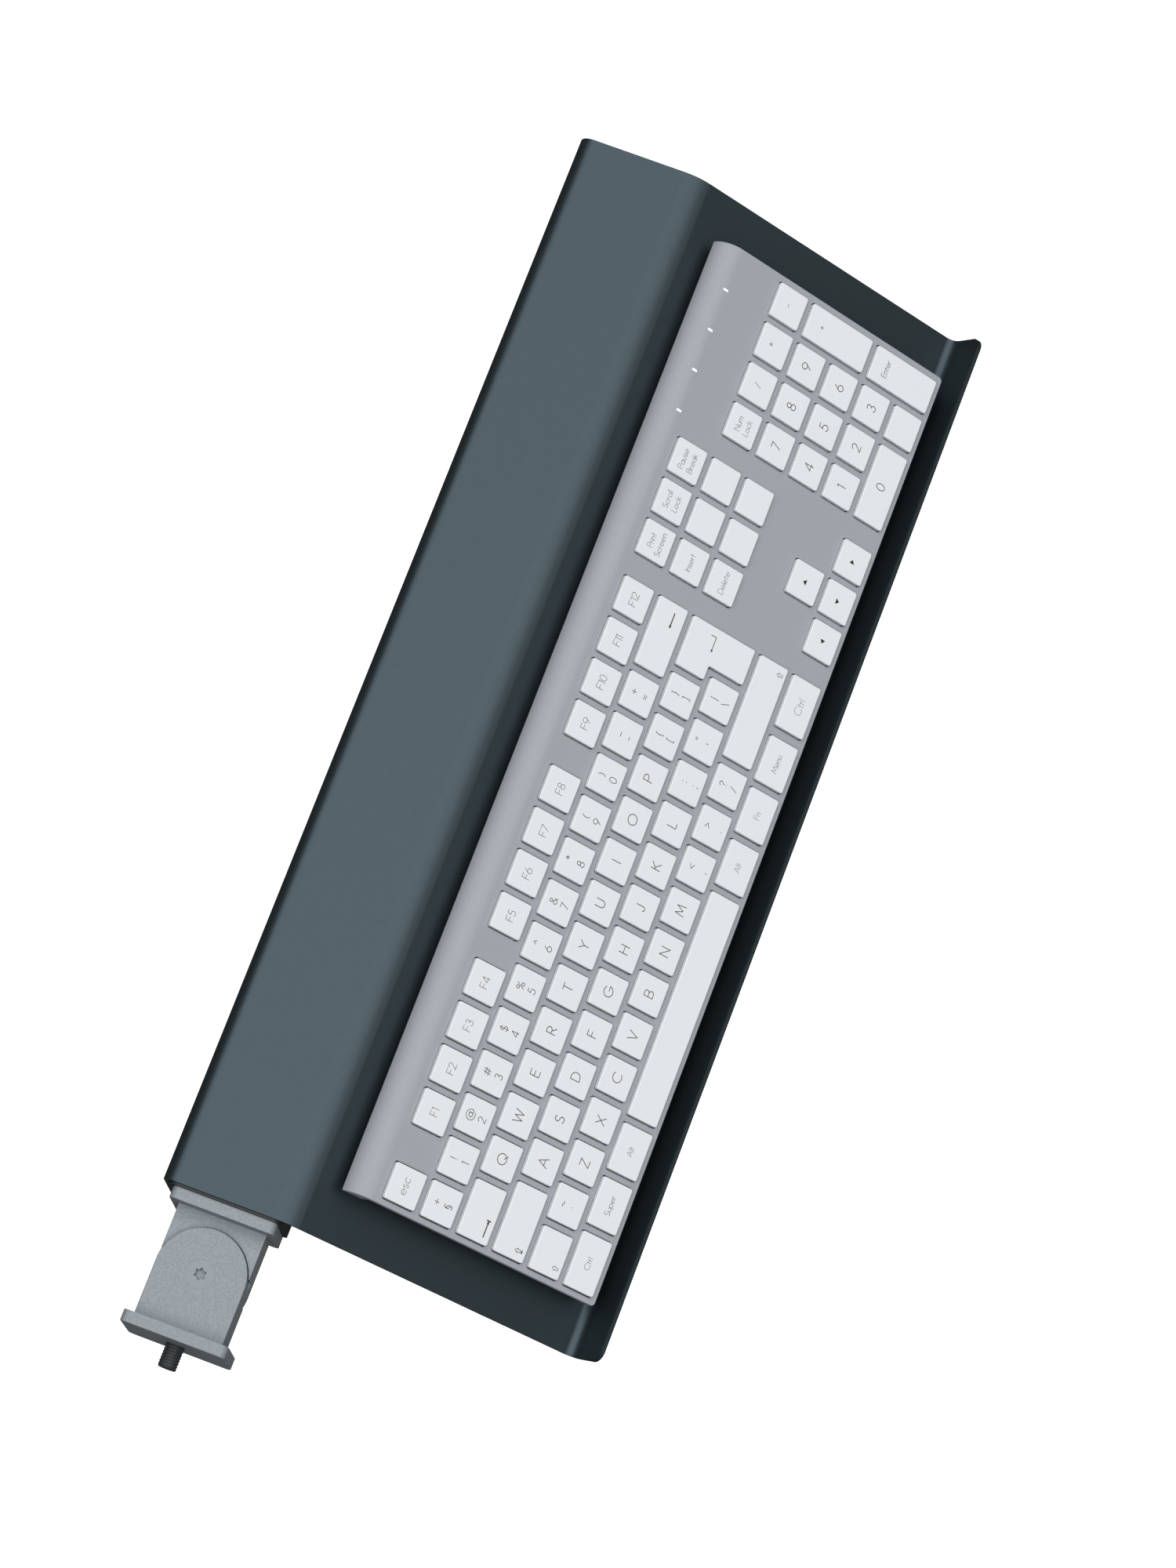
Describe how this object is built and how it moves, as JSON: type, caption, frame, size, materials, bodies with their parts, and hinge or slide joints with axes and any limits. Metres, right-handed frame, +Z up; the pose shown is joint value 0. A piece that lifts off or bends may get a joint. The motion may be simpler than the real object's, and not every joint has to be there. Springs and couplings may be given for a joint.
{
  "type": "swivel keyboard tray",
  "caption": "Bent sheet-metal keyboard tray on a lapped swivel bracket with one mounting stud, holding a full-size keyboard.",
  "frame": {"origin": "where the axis of the mounting stud meets the bracket's mounting face", "axes": "+Z up, +X along the tray away from the mount, -Y towards the user"},
  "size_m": [0.5469, 0.19, 0.0865],
  "materials": {
    "bracket_cast": "fine matt cast, grey lacquer",
    "black_steel": "black zinc",
    "washer_plastic": "white low-friction plastic",
    "bright_steel": "zinc plated",
    "tray_paint": "fine satin powder coat, dark blue-grey",
    "carrier_paint": "black powder coat",
    "black_plastic": "fine moulded grain",
    "cover_aluminium": "fine blasted, anodised silver",
    "shell_plastic": "fine moulded grain",
    "membrane_film": "clear printed film",
    "dome_silicone": "milky silicone",
    "circuit_board": "green solder mask",
    "light_pipe": "milky light pipe",
    "foot_rubber": "matt rubber",
    "keycap_plastic": "fine satin white"
  },
  "bodies": {
    "base": {"base_bracket": "bracket_cast", "mount_stud": "black_steel", "friction_washer": "washer_plastic"},
    "tray": {"tray_bracket": "bracket_cast", "pivot_screw": "bright_steel", "pivot_nut": "bright_steel", "tray_stud": "black_steel", "stud_washer": "bright_steel", "stud_nut": "bright_steel", "tray_sheet": "tray_paint", "carrier_tube": "carrier_paint", "end_plate": "carrier_paint", "end_cap": "black_plastic", "flange_screws": "black_steel", "rivet_nuts": "bright_steel"},
    "keyboard": {"keyboard_cover": "cover_aluminium", "keyboard_shell": "shell_plastic", "backing_plate": "bright_steel", "membrane": "membrane_film", "dome_sheet": "dome_silicone", "controller_board": "circuit_board", "shell_screws": "black_steel", "status_lights": "light_pipe", "rubber_feet": "foot_rubber"},
    "esc_key": {"esc_key": "keycap_plastic"},
    "f1_to_f4_keys": {"f1_to_f4_keys": "keycap_plastic"},
    "f5_to_f8_keys": {"f5_to_f8_keys": "keycap_plastic"},
    "f9_to_f12_keys": {"f9_to_f12_keys": "keycap_plastic"},
    "print_keys": {"print_keys": "keycap_plastic"},
    "number_row_keys": {"number_row_keys": "keycap_plastic"},
    "backspace_key": {"backspace_key": "keycap_plastic"},
    "tab_key": {"tab_key": "keycap_plastic"},
    "upper_letter_keys": {"upper_letter_keys": "keycap_plastic"},
    "caps_lock_key": {"caps_lock_key": "keycap_plastic"},
    "home_letter_keys": {"home_letter_keys": "keycap_plastic"},
    "enter_key": {"enter_key": "keycap_plastic"},
    "left_shift_key": {"left_shift_key": "keycap_plastic"},
    "lower_letter_keys": {"lower_letter_keys": "keycap_plastic"},
    "right_shift_key": {"right_shift_key": "keycap_plastic"},
    "left_modifier_keys": {"left_modifier_keys": "keycap_plastic"},
    "space_bar": {"space_bar": "keycap_plastic"},
    "right_modifier_keys": {"right_modifier_keys": "keycap_plastic"},
    "navigation_keys": {"navigation_keys": "keycap_plastic"},
    "arrow_keys": {"arrow_keys": "keycap_plastic"},
    "numpad_top_keys": {"numpad_top_keys": "keycap_plastic"},
    "numpad_digit_keys": {"numpad_digit_keys": "keycap_plastic"},
    "numpad_plus_key": {"numpad_plus_key": "keycap_plastic"},
    "numpad_enter_key": {"numpad_enter_key": "keycap_plastic"},
    "numpad_zero_key": {"numpad_zero_key": "keycap_plastic"},
    "numpad_point_key": {"numpad_point_key": "keycap_plastic"}
  },
  "joints": [
    {"name": "tray_swivel", "type": "hinge", "parent": "base", "child": "tray", "pos_m": [0.02905, 0, 0], "axis": [0, 0, 1], "range_deg": [-22, 22]},
    {"name": "keyboard_lift", "type": "slide", "parent": "tray", "child": "keyboard", "axis": [0, -0.5852, 0.8109], "range_m": [0, 0.04]},
    {"name": "esc_press", "type": "slide", "parent": "keyboard", "child": "esc_key", "axis": [0, 0.5852, -0.8109], "range_m": [0, 0.0015], "stiffness_N_per_m": 300, "springref_m": -0.0005},
    {"name": "f1_to_f4_press", "type": "slide", "parent": "keyboard", "child": "f1_to_f4_keys", "axis": [0, 0.5852, -0.8109], "range_m": [0, 0.0015], "stiffness_N_per_m": 1200, "springref_m": -0.0005},
    {"name": "f5_to_f8_press", "type": "slide", "parent": "keyboard", "child": "f5_to_f8_keys", "axis": [0, 0.5852, -0.8109], "range_m": [0, 0.0015], "stiffness_N_per_m": 1200, "springref_m": -0.0005},
    {"name": "f9_to_f12_press", "type": "slide", "parent": "keyboard", "child": "f9_to_f12_keys", "axis": [0, 0.5852, -0.8109], "range_m": [0, 0.0015], "stiffness_N_per_m": 1200, "springref_m": -0.0005},
    {"name": "print_press", "type": "slide", "parent": "keyboard", "child": "print_keys", "axis": [0, 0.5852, -0.8109], "range_m": [0, 0.0015], "stiffness_N_per_m": 900, "springref_m": -0.0005},
    {"name": "number_row_press", "type": "slide", "parent": "keyboard", "child": "number_row_keys", "axis": [0, 0.5852, -0.8109], "range_m": [0, 0.0015], "stiffness_N_per_m": 3900, "springref_m": -0.0005},
    {"name": "backspace_press", "type": "slide", "parent": "keyboard", "child": "backspace_key", "axis": [0, 0.5852, -0.8109], "range_m": [0, 0.0015], "stiffness_N_per_m": 300, "springref_m": -0.0005},
    {"name": "tab_press", "type": "slide", "parent": "keyboard", "child": "tab_key", "axis": [0, 0.5852, -0.8109], "range_m": [0, 0.0015], "stiffness_N_per_m": 300, "springref_m": -0.0005},
    {"name": "upper_letter_press", "type": "slide", "parent": "keyboard", "child": "upper_letter_keys", "axis": [0, 0.5852, -0.8109], "range_m": [0, 0.0015], "stiffness_N_per_m": 3600, "springref_m": -0.0005},
    {"name": "caps_lock_press", "type": "slide", "parent": "keyboard", "child": "caps_lock_key", "axis": [0, 0.5852, -0.8109], "range_m": [0, 0.0015], "stiffness_N_per_m": 300, "springref_m": -0.0005},
    {"name": "home_letter_press", "type": "slide", "parent": "keyboard", "child": "home_letter_keys", "axis": [0, 0.5852, -0.8109], "range_m": [0, 0.0015], "stiffness_N_per_m": 3600, "springref_m": -0.0005},
    {"name": "enter_press", "type": "slide", "parent": "keyboard", "child": "enter_key", "axis": [0, 0.5852, -0.8109], "range_m": [0, 0.0015], "stiffness_N_per_m": 300, "springref_m": -0.0005},
    {"name": "left_shift_press", "type": "slide", "parent": "keyboard", "child": "left_shift_key", "axis": [0, 0.5852, -0.8109], "range_m": [0, 0.0015], "stiffness_N_per_m": 300, "springref_m": -0.0005},
    {"name": "lower_letter_press", "type": "slide", "parent": "keyboard", "child": "lower_letter_keys", "axis": [0, 0.5852, -0.8109], "range_m": [0, 0.0015], "stiffness_N_per_m": 3300, "springref_m": -0.0005},
    {"name": "right_shift_press", "type": "slide", "parent": "keyboard", "child": "right_shift_key", "axis": [0, 0.5852, -0.8109], "range_m": [0, 0.0015], "stiffness_N_per_m": 300, "springref_m": -0.0005},
    {"name": "left_modifier_press", "type": "slide", "parent": "keyboard", "child": "left_modifier_keys", "axis": [0, 0.5852, -0.8109], "range_m": [0, 0.0015], "stiffness_N_per_m": 900, "springref_m": -0.0005},
    {"name": "space_bar_press", "type": "slide", "parent": "keyboard", "child": "space_bar", "axis": [0, 0.5852, -0.8109], "range_m": [0, 0.0015], "stiffness_N_per_m": 300, "springref_m": -0.0005},
    {"name": "right_modifier_press", "type": "slide", "parent": "keyboard", "child": "right_modifier_keys", "axis": [0, 0.5852, -0.8109], "range_m": [0, 0.0015], "stiffness_N_per_m": 1200, "springref_m": -0.0005},
    {"name": "navigation_press", "type": "slide", "parent": "keyboard", "child": "navigation_keys", "axis": [0, 0.5852, -0.8109], "range_m": [0, 0.0015], "stiffness_N_per_m": 1800, "springref_m": -0.0005},
    {"name": "arrow_press", "type": "slide", "parent": "keyboard", "child": "arrow_keys", "axis": [0, 0.5852, -0.8109], "range_m": [0, 0.0015], "stiffness_N_per_m": 1200, "springref_m": -0.0005},
    {"name": "numpad_top_press", "type": "slide", "parent": "keyboard", "child": "numpad_top_keys", "axis": [0, 0.5852, -0.8109], "range_m": [0, 0.0015], "stiffness_N_per_m": 1200, "springref_m": -0.0005},
    {"name": "numpad_digit_press", "type": "slide", "parent": "keyboard", "child": "numpad_digit_keys", "axis": [0, 0.5852, -0.8109], "range_m": [0, 0.0015], "stiffness_N_per_m": 2700, "springref_m": -0.0005},
    {"name": "numpad_plus_press", "type": "slide", "parent": "keyboard", "child": "numpad_plus_key", "axis": [0, 0.5852, -0.8109], "range_m": [0, 0.0015], "stiffness_N_per_m": 300, "springref_m": -0.0005},
    {"name": "numpad_enter_press", "type": "slide", "parent": "keyboard", "child": "numpad_enter_key", "axis": [0, 0.5852, -0.8109], "range_m": [0, 0.0015], "stiffness_N_per_m": 300, "springref_m": -0.0005},
    {"name": "numpad_zero_press", "type": "slide", "parent": "keyboard", "child": "numpad_zero_key", "axis": [0, 0.5852, -0.8109], "range_m": [0, 0.0015], "stiffness_N_per_m": 300, "springref_m": -0.0005},
    {"name": "numpad_point_press", "type": "slide", "parent": "keyboard", "child": "numpad_point_key", "axis": [0, 0.5852, -0.8109], "range_m": [0, 0.0015], "stiffness_N_per_m": 300, "springref_m": -0.0005}
  ]
}
